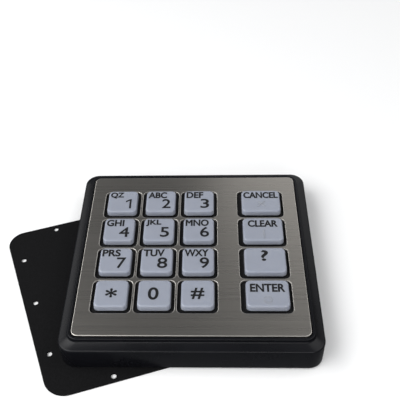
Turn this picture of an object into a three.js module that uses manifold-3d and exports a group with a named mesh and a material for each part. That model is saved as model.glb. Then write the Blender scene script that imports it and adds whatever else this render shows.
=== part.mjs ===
// Alarm keypad panel: sixteen keys in a brushed steel fascia and a black bezel, lying on its back.
// Its loose mounting gasket lies under it, slipped to the left and turned.
// Units are millimetres. +X runs along the key rows to the right, +Y to the top row, +Z out of the keys.
// The origin is on the gasket's underside, straight below the middle of the keypad.

import * as THREE from 'three';
import { mergeVertices } from 'three/addons/utils/BufferGeometryUtils.js';
import Module from 'manifold-3d';

const wasm = await Module();
wasm.setup();

// ---- Driving dimensions ----

// Key grid
const KEY_PITCH = 20.5;
const FIRST_COLUMN_X = -38.05;
const TOP_ROW_Y = 31.3;
const FUNCTION_COLUMN_X = 35.6;
const KEY_HOLE = 19.3;
const KEY_HOLE_CORNER = 2.6;
const FUNCTION_EXTRA_WIDTH = 5.1;

// Key caps
const CAP_HOLE_GAP = 1.45;
const CAP_TOP = 15.8;
const CAP_RISE = 2.3;
const CAP_ROUNDING = 0.5;
const FLANGE_SIZE = 20;
const FLANGE_THICKNESS = 1;
const FLANGE_CLEARANCE = 0.1;
const PLUNGER_SIZE = 6;
const PLUNGER_LENGTH = 0.6;
const KEY_TRAVEL = 1.2;
const DOME_CLEARANCE = 0.1;

// Gasket, bezel and fascia outlines. Every outline is wider than it is high by the same amount.
const WIDTH_OVER_HEIGHT = 5.1;
const BEZEL_WIDTH = 122.3;
const BEZEL_CORNER = 7.2;
const BEZEL_DEPTH_BELOW_FASCIA = 16.6;
const BEZEL_WALL = 3.5;
const PLATE_SHOULDER = 1.5;
const FASCIA_WIDTH = 109.6;
const FASCIA_CORNER = 3;
const FASCIA_THICKNESS = 1.5;
const FASCIA_GAP = 0.4;
const RIM_WIDTH = 1.3;
const RIM_BELOW_FASCIA = 0.3;
const RIM_FOOT_BELOW_FASCIA = 2.4;
const FLANGE_EDGE_BELOW_FASCIA = 3.3;
const FLANGE_EDGE_ROUNDING = 1;
const LEDGE_WIDTH = 2.4;
const LEDGE_THICKNESS = 1.5;
const SEAL_THICKNESS = 0.5;
const SEAL_WIDTH = 1.5;

// Mounting gasket
const GASKET_THICKNESS = 1;
const GASKET_WIDTH = 112;
const GASKET_HEIGHT = 106.6;
const GASKET_CORNER = 9.8;
const GASKET_CENTRE = new THREE.Vector2(-30.5, -8.7);
const GASKET_TURN = THREE.MathUtils.degToRad(18);
// The soft sheet lies slightly out of square.
const GASKET_SKEW = THREE.MathUtils.degToRad(4);
const GASKET_HOLE_RADIUS = 1.3;
// Half of the holes. The other half are in the same places after half a turn.
const GASKET_HALF_HOLES = [
  { x: -29, y: 50.2 },
  { x: -2, y: 50.2 },
  { x: -50.2, y: 33 },
  { x: -50.2, y: 2.8 },
  { x: -50.2, y: -29.3 },
  { x: -25, y: -50.2 },
];

// Back plate, and what it carries
const PLATE_RECESS = 6;
const PLATE_THICKNESS = 1.2;
const PLATE_EDGE_GAP = 0.3;
const PLATE_HOLE_GAP = 0.3;
const STUD_X = 50.8;
const STUD_Y = 46.5;
const STUD_RADIUS = 1.5;
const STUD_REACH = 5;
const WASHER_RADIUS = 3.5;
const WASHER_THICKNESS = 0.5;
const NUT_ACROSS_FLATS = 5.5;
const NUT_THICKNESS = 2.4;
const FASTENER_HEAD_RADIUS = 2.4;
const FASTENER_SHANK_RADIUS = 2;
const FASTENER_PROUD = 0.2;
const SLOT_LENGTH = 38;
const SLOT_WIDTH = 9;
const SLOT_Y = 32;
const LABEL_WIDTH = 12.3;
const LABEL_HEIGHT = 25;
const LABEL_THICKNESS = 0.15;
const LABEL_X = -49.4;
const LABEL_YS = [19.3, -26.5];

// Inner pieces
const INSULATOR_WIDTH = 111;
const INSULATOR_THICKNESS = 0.3;
const BOARD_WIDTH = 96;
const BOARD_HEIGHT = 85;
const BOARD_CORNER = 2;
const BOARD_THICKNESS = 1.6;
const BOARD_ABOVE_PLATE = 1.8;
const MAT_WEB = 0.6;
const DOME_BASE_RADIUS = 6;
const DOME_TOP_RADIUS = 4.5;

// Pin header
const PIN_COUNT = 13;
const PIN_PITCH = 2.54;
const PIN_SIZE = 0.64;
const PIN_TIP_SIZE = 0.3;
const PIN_TIP_LENGTH = 0.6;
const PIN_REACH = 5.2;
const HEADER_X = -0.85;
const HEADER_Y = 32.4;
const HEADER_WIDTH = 6.2;
const HEADER_HEIGHT = 2.6;
const HEADER_LOCK_STARTS = [2, 7];
const HEADER_LOCK_PINS = 3;
const HEADER_LOCK_REACH = 4.6;
const HEADER_LOCK_THICKNESS = 1.2;

const CORNER_STEPS = 3;
const ROUND_STEPS = 12;

// ---- Heights, from the surface that the gasket lies on ----

const RIM_Z = GASKET_THICKNESS;
const FASCIA_TOP_Z = RIM_Z + BEZEL_DEPTH_BELOW_FASCIA;
const FASCIA_BACK_Z = FASCIA_TOP_Z - FASCIA_THICKNESS;
const LEDGE_Z = FASCIA_BACK_Z - SEAL_THICKNESS;
const PLATE_REAR_Z = RIM_Z + PLATE_RECESS;
const PLATE_FRONT_Z = PLATE_REAR_Z + PLATE_THICKNESS;
const BOARD_REAR_Z = PLATE_FRONT_Z + BOARD_ABOVE_PLATE;
const BOARD_FRONT_Z = BOARD_REAR_Z + BOARD_THICKNESS;
const KEY_FLANGE_TOP_Z = FASCIA_BACK_Z - FLANGE_CLEARANCE;
const KEY_FLANGE_BACK_Z = KEY_FLANGE_TOP_Z - FLANGE_THICKNESS;
const KEY_BACK_Z = KEY_FLANGE_BACK_Z - PLUNGER_LENGTH;
const DOME_TOP_Z = KEY_BACK_Z - KEY_TRAVEL - DOME_CLEARANCE;

// ---- Key grid ----

const NUMERIC_ROWS = [
  ['key_1', 'key_2', 'key_3'],
  ['key_4', 'key_5', 'key_6'],
  ['key_7', 'key_8', 'key_9'],
  ['key_star', 'key_0', 'key_hash'],
];
const FUNCTION_KEYS = ['key_cancel', 'key_clear', 'key_help', 'key_enter'];

function keyPlaces() {
  const places = [];
  NUMERIC_ROWS.forEach((names, row) => {
    const y = TOP_ROW_Y - row * KEY_PITCH;
    names.forEach((name, column) => {
      places.push({ name, x: FIRST_COLUMN_X + column * KEY_PITCH, y, extraWidth: 0 });
    });
    places.push({ name: FUNCTION_KEYS[row], x: FUNCTION_COLUMN_X, y, extraWidth: FUNCTION_EXTRA_WIDTH });
  });
  return places;
}

// The flush fasteners seen on the back plate. Long ones reach the fascia, short ones carry the board.
const FASTENERS = [
  { name: 'standoff_top', x: -0.6, y: 47.1, top: FASCIA_BACK_Z },
  { name: 'standoff_bottom', x: -0.6, y: -45.4, top: FASCIA_BACK_Z },
  { name: 'standoff_left', x: -50.2, y: 0.6, top: FASCIA_BACK_Z },
  { name: 'standoff_right', x: 50.2, y: 0.8, top: FASCIA_BACK_Z },
  { name: 'board_post_upper', x: -16.8, y: 21, top: BOARD_REAR_Z },
  { name: 'board_post_lower', x: -16.8, y: -19.6, top: BOARD_REAR_Z },
];
const SPARE_HOLES = [
  { x: 27.4, y: 46.3, radius: 2.2 },
  { x: 7.4, y: 0.1, radius: 2.5 },
  { x: -18, y: -38, radius: 3.2 },
];
const STUDS = [
  { corner: 'top_left', x: -STUD_X, y: STUD_Y },
  { corner: 'top_right', x: STUD_X, y: STUD_Y },
  { corner: 'bottom_left', x: -STUD_X, y: -STUD_Y },
  { corner: 'bottom_right', x: STUD_X, y: -STUD_Y },
];

// ---- Materials ----

function finish(color, roughness, metalness) {
  return new THREE.MeshStandardMaterial({ color, roughness, metalness });
}

const FINISHES = {
  bezel: finish(0x1a1a1e, 0.45, 0),
  fascia: finish(0x7c776f, 0.35, 1),
  key: finish(0xa9adba, 0.4, 0),
  seal: finish(0x242427, 0.9, 0),
  mat: finish(0xc9cdd4, 0.6, 0),
  board: finish(0x2c6b3c, 0.5, 0),
  insulator: finish(0x18181a, 0.4, 0),
  plate: finish(0x808c96, 0.4, 1),
  gasket: finish(0x151517, 0.85, 0),
  steel: finish(0xb4b8bb, 0.3, 1),
  header: finish(0x1b1b1d, 0.5, 0),
  pin: finish(0xd0a94e, 0.3, 1),
  label: finish(0xe9e9e4, 0.7, 0),
};

// ---- Geometry helpers ----

function roundedRect(width, height, radius, steps = CORNER_STEPS) {
  const points = [];
  for (let corner = 0; corner < 4; corner += 1) {
    const sideX = corner === 0 || corner === 3 ? 1 : -1;
    const sideY = corner < 2 ? 1 : -1;
    for (let step = 0; step <= steps; step += 1) {
      const angle = (Math.PI / 2) * (corner + step / steps);
      const x = sideX * (width / 2 - radius) + radius * Math.cos(angle);
      const y = sideY * (height / 2 - radius) + radius * Math.sin(angle);
      points.push(new THREE.Vector2(x, y));
    }
  }
  return points;
}

function panelOutline(width, radius, steps = CORNER_STEPS) {
  return roundedRect(width, width - WIDTH_OVER_HEIGHT, radius, steps);
}

function square(size) {
  const half = size / 2;
  return [
    new THREE.Vector2(half, half),
    new THREE.Vector2(-half, half),
    new THREE.Vector2(-half, -half),
    new THREE.Vector2(half, -half),
  ];
}

function circle(radius, steps = ROUND_STEPS) {
  const points = [];
  for (let step = 0; step < steps; step += 1) {
    const angle = (2 * Math.PI * step) / steps;
    points.push(new THREE.Vector2(radius * Math.cos(angle), radius * Math.sin(angle)));
  }
  return points;
}

function moved(points, x, y) {
  return points.map((point) => new THREE.Vector2(point.x + x, point.y + y));
}

// Skins a stack of outlines that all have the same number of points. An open stack gets end caps.
// A stack that closes on itself goes up its outside and down its inside.
function loft(rings, closesOnItself = false) {
  const count = rings[0].points.length;
  const positions = [];
  for (const ring of rings) {
    for (const point of ring.points) {
      positions.push(point.x, point.y, ring.z);
    }
  }
  const faces = [];
  const spans = closesOnItself ? rings.length : rings.length - 1;
  for (let span = 0; span < spans; span += 1) {
    const low = span * count;
    const high = ((span + 1) % rings.length) * count;
    for (let here = 0; here < count; here += 1) {
      const next = (here + 1) % count;
      faces.push(low + here, low + next, high + next);
      faces.push(low + here, high + next, high + here);
    }
  }
  if (!closesOnItself) {
    const top = (rings.length - 1) * count;
    for (let corner = 1; corner < count - 1; corner += 1) {
      faces.push(0, corner + 1, corner);
      faces.push(top, top + corner, top + corner + 1);
    }
  }
  const geometry = new THREE.BufferGeometry();
  geometry.setAttribute('position', new THREE.Float32BufferAttribute(positions, 3));
  geometry.setIndex(faces);
  geometry.computeVertexNormals();
  return geometry;
}

// A flat piece from one height to another, with holes right through it.
function sheet(outline, holes, bottom, top) {
  const shape = new THREE.Shape(outline);
  for (const hole of holes) {
    shape.holes.push(new THREE.Path(hole));
  }
  const geometry = new THREE.ExtrudeGeometry(shape, { depth: top - bottom, bevelEnabled: false });
  return geometry.translate(0, 0, bottom);
}

function toSolid(geometry) {
  const bare = geometry.clone();
  bare.deleteAttribute('normal');
  bare.deleteAttribute('uv');
  const merged = mergeVertices(bare);
  return new wasm.Manifold(new wasm.Mesh({
    numProp: 3,
    vertProperties: new Float32Array(merged.attributes.position.array),
    triVerts: new Uint32Array(merged.index.array),
  }));
}

function toGeometry(solid) {
  const mesh = solid.getMesh();
  const geometry = new THREE.BufferGeometry();
  geometry.setAttribute('position', new THREE.Float32BufferAttribute(mesh.vertProperties, 3));
  geometry.setIndex(Array.from(mesh.triVerts));
  geometry.computeVertexNormals();
  return geometry;
}

function joined(base, additions) {
  return additions.map(toSolid).reduce((sum, next) => sum.add(next), base);
}

function drilled(base, cutters) {
  return cutters.map(toSolid).reduce((sum, next) => sum.subtract(next), base);
}

// ---- Front pieces ----

function bezelGeometry() {
  const steps = CORNER_STEPS + 1;
  const rimOuter = FASCIA_WIDTH + 2 * (FASCIA_GAP + RIM_WIDTH);
  const rimInner = FASCIA_WIDTH + 2 * FASCIA_GAP;
  const rimTop = FASCIA_TOP_Z - RIM_BELOW_FASCIA;
  const rimRound = 0.3;
  const flangeEdge = FASCIA_TOP_Z - FLANGE_EDGE_BELOW_FASCIA;
  const rounding = FLANGE_EDGE_ROUNDING;
  const seatWidth = BEZEL_WIDTH - 2 * BEZEL_WALL;
  const boxWidth = seatWidth - 2 * PLATE_SHOULDER;
  const ledgeWidth = rimInner - 2 * LEDGE_WIDTH;
  const ledgeBack = LEDGE_Z - LEDGE_THICKNESS;
  const midRounding = rounding * (1 - Math.SQRT1_2);
  const profile = [
    { width: BEZEL_WIDTH, corner: BEZEL_CORNER, z: RIM_Z },
    { width: BEZEL_WIDTH, corner: BEZEL_CORNER, z: flangeEdge - rounding },
    { width: BEZEL_WIDTH - 2 * midRounding, corner: BEZEL_CORNER - midRounding, z: flangeEdge - midRounding },
    { width: BEZEL_WIDTH - 2 * rounding, corner: BEZEL_CORNER - rounding, z: flangeEdge },
    { width: rimOuter, corner: FASCIA_CORNER + FASCIA_GAP + RIM_WIDTH, z: FASCIA_TOP_Z - RIM_FOOT_BELOW_FASCIA },
    { width: rimOuter, corner: FASCIA_CORNER + FASCIA_GAP + RIM_WIDTH, z: rimTop - rimRound },
    { width: rimOuter - 2 * rimRound, corner: FASCIA_CORNER + FASCIA_GAP + RIM_WIDTH - rimRound, z: rimTop },
    { width: rimInner, corner: FASCIA_CORNER + FASCIA_GAP, z: rimTop },
    { width: rimInner, corner: FASCIA_CORNER + FASCIA_GAP, z: LEDGE_Z },
    { width: ledgeWidth, corner: FASCIA_CORNER - 1, z: LEDGE_Z },
    { width: ledgeWidth, corner: FASCIA_CORNER - 1, z: ledgeBack },
    { width: boxWidth, corner: FASCIA_CORNER, z: ledgeBack },
    { width: boxWidth, corner: FASCIA_CORNER, z: PLATE_FRONT_Z },
    { width: seatWidth, corner: FASCIA_CORNER + 1, z: PLATE_FRONT_Z },
    { width: seatWidth, corner: FASCIA_CORNER + 1, z: RIM_Z },
  ];
  const rings = profile.map(({ width, corner, z }) => ({ points: panelOutline(width, corner, steps), z }));
  return loft(rings, true);
}

function fasciaGeometry() {
  const holes = keyPlaces().map(({ x, y, extraWidth }) => {
    const hole = roundedRect(KEY_HOLE + extraWidth, KEY_HOLE, KEY_HOLE_CORNER, CORNER_STEPS - 1);
    return moved(hole, x, y);
  });
  return sheet(panelOutline(FASCIA_WIDTH, FASCIA_CORNER), holes, FASCIA_BACK_Z, FASCIA_TOP_Z);
}

function fasciaSealGeometry() {
  const inner = FASCIA_WIDTH + 2 * FASCIA_GAP - 2 * LEDGE_WIDTH;
  const outer = inner + 2 * SEAL_WIDTH;
  const hole = panelOutline(inner, FASCIA_CORNER - 1);
  return sheet(panelOutline(outer, FASCIA_CORNER - 0.5), [hole], LEDGE_Z, FASCIA_BACK_Z);
}

function keyGeometry(extraWidth) {
  const base = KEY_HOLE - 2 * CAP_HOLE_GAP;
  const capTop = FASCIA_TOP_Z + CAP_RISE;
  const shoulder = CAP_TOP + 2 * CAP_ROUNDING * 0.3;
  const profile = [
    { size: PLUNGER_SIZE, corner: 0.6, z: KEY_BACK_Z },
    { size: PLUNGER_SIZE, corner: 0.6, z: KEY_FLANGE_BACK_Z },
    { size: FLANGE_SIZE, corner: KEY_HOLE_CORNER, z: KEY_FLANGE_BACK_Z },
    { size: FLANGE_SIZE, corner: KEY_HOLE_CORNER, z: KEY_FLANGE_TOP_Z },
    { size: base, corner: KEY_HOLE_CORNER - 0.3, z: KEY_FLANGE_TOP_Z },
    { size: shoulder, corner: KEY_HOLE_CORNER - 0.6, z: capTop - CAP_ROUNDING },
    { size: CAP_TOP - CAP_ROUNDING, corner: KEY_HOLE_CORNER - 0.9, z: capTop },
  ];
  const rings = profile.map(({ size, corner, z }) => {
    return { points: roundedRect(size + extraWidth, size, corner, CORNER_STEPS - 1), z };
  });
  return loft(rings);
}

// ---- Inner pieces ----

function keyMatGeometry() {
  const webTop = BOARD_FRONT_Z + MAT_WEB;
  const web = sheet(roundedRect(BOARD_WIDTH, BOARD_HEIGHT, BOARD_CORNER), [], BOARD_FRONT_Z, webTop);
  const domes = keyPlaces().map(({ x, y }) => loft([
    { points: moved(circle(DOME_BASE_RADIUS), x, y), z: webTop - MAT_WEB / 2 },
    { points: moved(circle(DOME_BASE_RADIUS), x, y), z: webTop },
    { points: moved(circle(DOME_TOP_RADIUS), x, y), z: DOME_TOP_Z },
  ]));
  return toGeometry(joined(toSolid(web), domes));
}

function boardGeometry() {
  return sheet(roundedRect(BOARD_WIDTH, BOARD_HEIGHT, BOARD_CORNER), [], BOARD_REAR_Z, BOARD_FRONT_Z);
}

function slotOutline(extra) {
  const width = SLOT_WIDTH + 2 * extra;
  return moved(roundedRect(SLOT_LENGTH + 2 * extra, width, width / 2, 2 * CORNER_STEPS), 0, SLOT_Y);
}

function studHoles() {
  return STUDS.map(({ x, y }) => moved(circle(STUD_RADIUS + PLATE_HOLE_GAP), x, y));
}

function fastenerHoles() {
  return FASTENERS.map(({ x, y }) => moved(circle(FASTENER_HEAD_RADIUS + PLATE_HOLE_GAP), x, y));
}

function insulatorGeometry() {
  const holes = [...studHoles(), ...fastenerHoles(), slotOutline(1)];
  const top = PLATE_FRONT_Z + INSULATOR_THICKNESS;
  return sheet(panelOutline(INSULATOR_WIDTH, FASCIA_CORNER), holes, PLATE_FRONT_Z, top);
}

// ---- Rear pieces ----

function backPlateGeometry() {
  const width = BEZEL_WIDTH - 2 * (BEZEL_WALL + PLATE_EDGE_GAP);
  const spares = SPARE_HOLES.map(({ x, y, radius }) => moved(circle(radius), x, y));
  const holes = [...studHoles(), ...fastenerHoles(), ...spares, slotOutline(0)];
  return sheet(panelOutline(width, FASCIA_CORNER + 1), holes, PLATE_REAR_Z, PLATE_FRONT_Z);
}

function studGeometry() {
  const chamfer = 0.3;
  const tip = PLATE_REAR_Z - STUD_REACH;
  return loft([
    { points: circle(STUD_RADIUS - chamfer), z: tip },
    { points: circle(STUD_RADIUS), z: tip + chamfer },
    { points: circle(STUD_RADIUS), z: FASCIA_BACK_Z },
  ]);
}

function washerGeometry() {
  const hole = circle(STUD_RADIUS + PLATE_HOLE_GAP);
  return sheet(circle(WASHER_RADIUS), [hole], PLATE_REAR_Z - WASHER_THICKNESS, PLATE_REAR_Z);
}

function nutGeometry() {
  const top = PLATE_REAR_Z - WASHER_THICKNESS;
  const hexagon = circle(NUT_ACROSS_FLATS / Math.sqrt(3), 6);
  return sheet(hexagon, [circle(STUD_RADIUS + 0.1)], top - NUT_THICKNESS, top);
}

function fastenerGeometry(top) {
  return loft([
    { points: circle(FASTENER_HEAD_RADIUS), z: PLATE_REAR_Z - FASTENER_PROUD },
    { points: circle(FASTENER_HEAD_RADIUS), z: PLATE_FRONT_Z },
    { points: circle(FASTENER_SHANK_RADIUS), z: PLATE_FRONT_Z },
    { points: circle(FASTENER_SHANK_RADIUS), z: top },
  ]);
}

function pinX(index) {
  return (index - (PIN_COUNT - 1) / 2) * PIN_PITCH;
}

function headerGeometry() {
  const bottom = BOARD_REAR_Z - HEADER_HEIGHT;
  const body = sheet(roundedRect(PIN_COUNT * PIN_PITCH, HEADER_WIDTH, 0.3, 1), [], bottom, BOARD_REAR_Z);
  const pinHoles = [];
  for (let index = 0; index < PIN_COUNT; index += 1) {
    const hole = new THREE.BoxGeometry(PIN_SIZE + 0.1, PIN_SIZE + 0.1, 3 * HEADER_HEIGHT);
    pinHoles.push(hole.translate(pinX(index), 0, BOARD_REAR_Z));
  }
  const lockRoot = HEADER_HEIGHT / 2;
  const locks = HEADER_LOCK_STARTS.map((start) => {
    const width = HEADER_LOCK_PINS * PIN_PITCH;
    const lock = new THREE.BoxGeometry(width, HEADER_LOCK_THICKNESS, HEADER_LOCK_REACH + lockRoot);
    const x = pinX(start + (HEADER_LOCK_PINS - 1) / 2);
    const y = (HEADER_LOCK_THICKNESS - HEADER_WIDTH) / 2;
    return lock.translate(x, y, bottom + (lockRoot - HEADER_LOCK_REACH) / 2);
  });
  return toGeometry(drilled(joined(toSolid(body), locks), pinHoles));
}

function pinGeometry() {
  const tip = PLATE_REAR_Z - PIN_REACH;
  return loft([
    { points: square(PIN_TIP_SIZE), z: tip },
    { points: square(PIN_SIZE), z: tip + PIN_TIP_LENGTH },
    { points: square(PIN_SIZE), z: BOARD_REAR_Z },
  ]);
}

function labelGeometry() {
  const outline = roundedRect(LABEL_WIDTH, LABEL_HEIGHT, 0.5, 1);
  return sheet(outline, [], PLATE_REAR_Z - LABEL_THICKNESS, PLATE_REAR_Z);
}

function skewed(x, y) {
  return new THREE.Vector2(x - y * Math.sin(GASKET_SKEW), y * Math.cos(GASKET_SKEW));
}

function gasketGeometry() {
  const holes = [];
  for (const { x, y } of GASKET_HALF_HOLES) {
    for (const side of [-1, 1]) {
      const centre = skewed(side * x, side * y);
      holes.push(moved(circle(GASKET_HOLE_RADIUS), centre.x, centre.y));
    }
  }
  const outline = roundedRect(GASKET_WIDTH, GASKET_HEIGHT, GASKET_CORNER, 2 * CORNER_STEPS);
  return sheet(outline.map(({ x, y }) => skewed(x, y)), holes, 0, GASKET_THICKNESS);
}

// ---- Assembly ----

function piece(name, geometry, material, x = 0, y = 0) {
  const mesh = new THREE.Mesh(geometry, material);
  mesh.name = name;
  mesh.position.set(x, y, 0);
  return mesh;
}

function keys() {
  const group = new THREE.Group();
  for (const { name, x, y, extraWidth } of keyPlaces()) {
    group.add(piece(name, keyGeometry(extraWidth), FINISHES.key, x, y));
  }
  return group;
}

function frontShell() {
  const group = new THREE.Group();
  group.add(piece('bezel', bezelGeometry(), FINISHES.bezel));
  group.add(piece('fascia_plate', fasciaGeometry(), FINISHES.fascia));
  group.add(piece('fascia_seal', fasciaSealGeometry(), FINISHES.seal));
  return group;
}

function electronics() {
  const group = new THREE.Group();
  group.add(piece('key_mat', keyMatGeometry(), FINISHES.mat));
  group.add(piece('circuit_board', boardGeometry(), FINISHES.board));
  group.add(piece('insulating_sheet', insulatorGeometry(), FINISHES.insulator));
  group.add(piece('header_body', headerGeometry(), FINISHES.header, HEADER_X, HEADER_Y));
  for (let index = 0; index < PIN_COUNT; index += 1) {
    const name = `header_pin_${index + 1}`;
    group.add(piece(name, pinGeometry(), FINISHES.pin, HEADER_X + pinX(index), HEADER_Y));
  }
  return group;
}

function rearAssembly() {
  const group = new THREE.Group();
  group.add(piece('back_plate', backPlateGeometry(), FINISHES.plate));
  for (const { corner, x, y } of STUDS) {
    group.add(piece(`stud_${corner}`, studGeometry(), FINISHES.steel, x, y));
    group.add(piece(`washer_${corner}`, washerGeometry(), FINISHES.steel, x, y));
    group.add(piece(`nut_${corner}`, nutGeometry(), FINISHES.steel, x, y));
  }
  for (const { name, x, y, top } of FASTENERS) {
    group.add(piece(name, fastenerGeometry(top), FINISHES.steel, x, y));
  }
  LABEL_YS.forEach((y, index) => {
    group.add(piece(`label_${index + 1}`, labelGeometry(), FINISHES.label, LABEL_X, y));
  });
  return group;
}

function looseGasket() {
  const group = new THREE.Group();
  group.add(piece('mounting_gasket', gasketGeometry(), FINISHES.gasket));
  group.position.set(GASKET_CENTRE.x, GASKET_CENTRE.y, 0);
  group.rotation.z = GASKET_TURN;
  return group;
}

const keypad = new THREE.Group();
keypad.add(keys());
keypad.add(frontShell());
keypad.add(electronics());
keypad.add(rearAssembly());
keypad.add(looseGasket());

export default keypad;
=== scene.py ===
"""Looks of the alarm keypad panel: a black bezel, a brushed steel fascia, sixteen translucent keys with
printed legends, the zinc-plated back with its pin header, studs and labels, and the loose rubber gasket.
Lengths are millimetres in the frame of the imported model, and turn to metres as each mesh is finished."""

import math
import random

import bmesh
import bpy
from mathutils import Matrix, Vector
from mathutils.geometry import tessellate_polygon


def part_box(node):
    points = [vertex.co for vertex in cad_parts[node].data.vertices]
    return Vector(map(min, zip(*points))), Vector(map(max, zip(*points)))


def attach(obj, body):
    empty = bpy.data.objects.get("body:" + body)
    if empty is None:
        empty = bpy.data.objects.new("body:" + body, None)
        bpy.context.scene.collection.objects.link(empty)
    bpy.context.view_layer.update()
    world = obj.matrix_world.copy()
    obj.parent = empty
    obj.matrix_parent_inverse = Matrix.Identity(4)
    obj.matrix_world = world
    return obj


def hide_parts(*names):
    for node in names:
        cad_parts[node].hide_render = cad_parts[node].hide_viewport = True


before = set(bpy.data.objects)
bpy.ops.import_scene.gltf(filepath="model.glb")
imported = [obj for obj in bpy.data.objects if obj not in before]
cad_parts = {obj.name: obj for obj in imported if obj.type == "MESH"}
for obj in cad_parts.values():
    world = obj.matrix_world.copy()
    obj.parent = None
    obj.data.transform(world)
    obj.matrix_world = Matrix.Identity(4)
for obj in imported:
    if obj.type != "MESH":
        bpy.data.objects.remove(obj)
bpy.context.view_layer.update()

MM = 0.001


# ---- Sizes that the shapes share ----

def box_mm(node):
    """Lowest and highest corners of a CAD node in millimetres."""
    low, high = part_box(node)
    return low / MM, high / MM


def centre_of(node):
    low, high = box_mm(node)
    return (low.x + high.x) / 2, (low.y + high.y) / 2


BEZEL_LOW, BEZEL_HIGH = box_mm("bezel")
FASCIA_LOW, FASCIA_HIGH = box_mm("fascia_plate")
PLATE_LOW, PLATE_HIGH = box_mm("back_plate")
BEZEL_WIDTH = BEZEL_HIGH.x - BEZEL_LOW.x
# Every outline of the panel is this much wider than it is high.
WIDTH_OVER_HEIGHT = BEZEL_WIDTH - (BEZEL_HIGH.y - BEZEL_LOW.y)
FASCIA_WIDTH = FASCIA_HIGH.x - FASCIA_LOW.x
FASCIA_TOP = FASCIA_HIGH.z
FASCIA_BACK = FASCIA_LOW.z
FASCIA_CORNER = 3.0
# A key's flange reaches this far past the edge of its hole.
FLANGE_OVERLAP = 0.35
KEY_HOLE_CORNER = 2.6
KEY_NODES = [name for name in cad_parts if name.startswith("key_") and name != "key_mat"]
STUD_CORNERS = ["top_left", "top_right", "bottom_left", "bottom_right"]


# ---- Outlines ----

def rounded_rect(width, height, radius, steps=10, centre=(0, 0)):
    points = []
    for corner in range(4):
        side_x = 1 if corner in (0, 3) else -1
        side_y = 1 if corner < 2 else -1
        for step in range(steps + 1):
            angle = math.pi / 2 * (corner + step / steps)
            x = side_x * (width / 2 - radius) + radius * math.cos(angle)
            y = side_y * (height / 2 - radius) + radius * math.sin(angle)
            points.append((centre[0] + x, centre[1] + y))
    return points


def panel_outline(width, radius, steps=16):
    return rounded_rect(width, width - WIDTH_OVER_HEIGHT, radius, steps)


def circle(radius, steps=32, centre=(0, 0), start=0.0):
    angles = [start + 2 * math.pi * step / steps for step in range(steps)]
    return [(centre[0] + radius * math.cos(a), centre[1] + radius * math.sin(a)) for a in angles]


def round_hole(centre, radius):
    return lambda grow: circle(radius + grow, 32, centre)


def arc(centre, radius, start, end, steps):
    """Points of an arc in a profile, as (inset, height), with angles in degrees."""
    points = []
    for step in range(steps + 1):
        angle = math.radians(start + (end - start) * step / steps)
        points.append((centre[0] + radius * math.cos(angle), centre[1] + radius * math.sin(angle)))
    return points


# ---- Meshes ----

def finish_piece(name, mesh_data, material, body, replaced=(), sharp_angle=28):
    mesh_data.transform(Matrix.Scale(MM, 4))
    mesh_data.shade_smooth()
    mesh_data.set_sharp_from_angle(angle=math.radians(sharp_angle))
    mesh_data.materials.append(material)
    piece = bpy.data.objects.new(name, mesh_data)
    bpy.context.collection.objects.link(piece)
    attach(piece, body)
    if replaced:
        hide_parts(*replaced)
    return piece


def mesh_from(name, vertices, faces):
    data = bpy.data.meshes.new(name)
    data.from_pydata(vertices, [], faces)
    data.validate()
    data.update()
    return data


def loft(rings, closes_on_itself=False):
    """Vertices and faces of a stack of outlines with equal counts. Each ring is (outline, z).
    A stack that doesn't close on itself gets a flat face at each end."""
    count = len(rings[0][0])
    vertices = [(x, y, z) for outline, z in rings for x, y in outline]
    faces = []
    spans = len(rings) if closes_on_itself else len(rings) - 1
    for span in range(spans):
        low = span * count
        high = (span + 1) % len(rings) * count
        for here in range(count):
            after = (here + 1) % count
            faces.append((low + here, low + after, high + after, high + here))
    if not closes_on_itself:
        top = (len(rings) - 1) * count
        faces.append(tuple(reversed(range(count))))
        faces.append(tuple(range(top, top + count)))
    return vertices, faces


def gather(parts):
    """One list of vertices and one of faces from several separate parts."""
    vertices, faces = [], []
    for part_vertices, part_faces in parts:
        start = len(vertices)
        vertices.extend(part_vertices)
        faces.extend(tuple(start + index for index in face) for face in part_faces)
    return vertices, faces


def cut_sheet(outline, holes, low, high, chamfer, rounds=1):
    """A flat piece with holes and softened edges.
    outline and each hole are functions that give their points for an outward offset."""
    profile = [(-chamfer, high)]
    for step in range(1, rounds + 1):
        angle = math.pi / 2 * step / rounds
        profile.append((-chamfer * (1 - math.sin(angle)), high - chamfer * (1 - math.cos(angle))))
    profile.append((0.0, low + chamfer))
    profile.append((-chamfer, low))
    vertices, faces, caps = [], [], {high: [], low: []}
    for index, loop in enumerate([outline, *holes]):
        sign = 1 if index == 0 else -1
        starts = []
        for grow, z in profile:
            starts.append(len(vertices))
            vertices.extend((x, y, z) for x, y in loop(sign * grow))
        count = len(vertices) - starts[-1]
        for upper, lower in zip(starts, starts[1:]):
            for here in range(count):
                after = (here + 1) % count
                quad = (upper + here, lower + here, lower + after, upper + after)
                faces.append(quad if sign == 1 else quad[::-1])
        caps[high].append(list(range(starts[0], starts[0] + count)))
        caps[low].append(list(range(starts[-1], starts[-1] + count)))
    for z, loops in caps.items():
        flat = [index for loop in loops for index in loop]
        points = [[Vector(vertices[i]) for i in loop] for loop in loops]
        for triangle in tessellate_polygon(points):
            a, b, c = (flat[i] for i in triangle)
            ax, ay, _ = vertices[a]
            bx, by, _ = vertices[b]
            cx, cy, _ = vertices[c]
            faces_up = (bx - ax) * (cy - ay) > (by - ay) * (cx - ax)
            faces.append((a, b, c) if faces_up == (z == high) else (a, c, b))
    return vertices, faces


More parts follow.
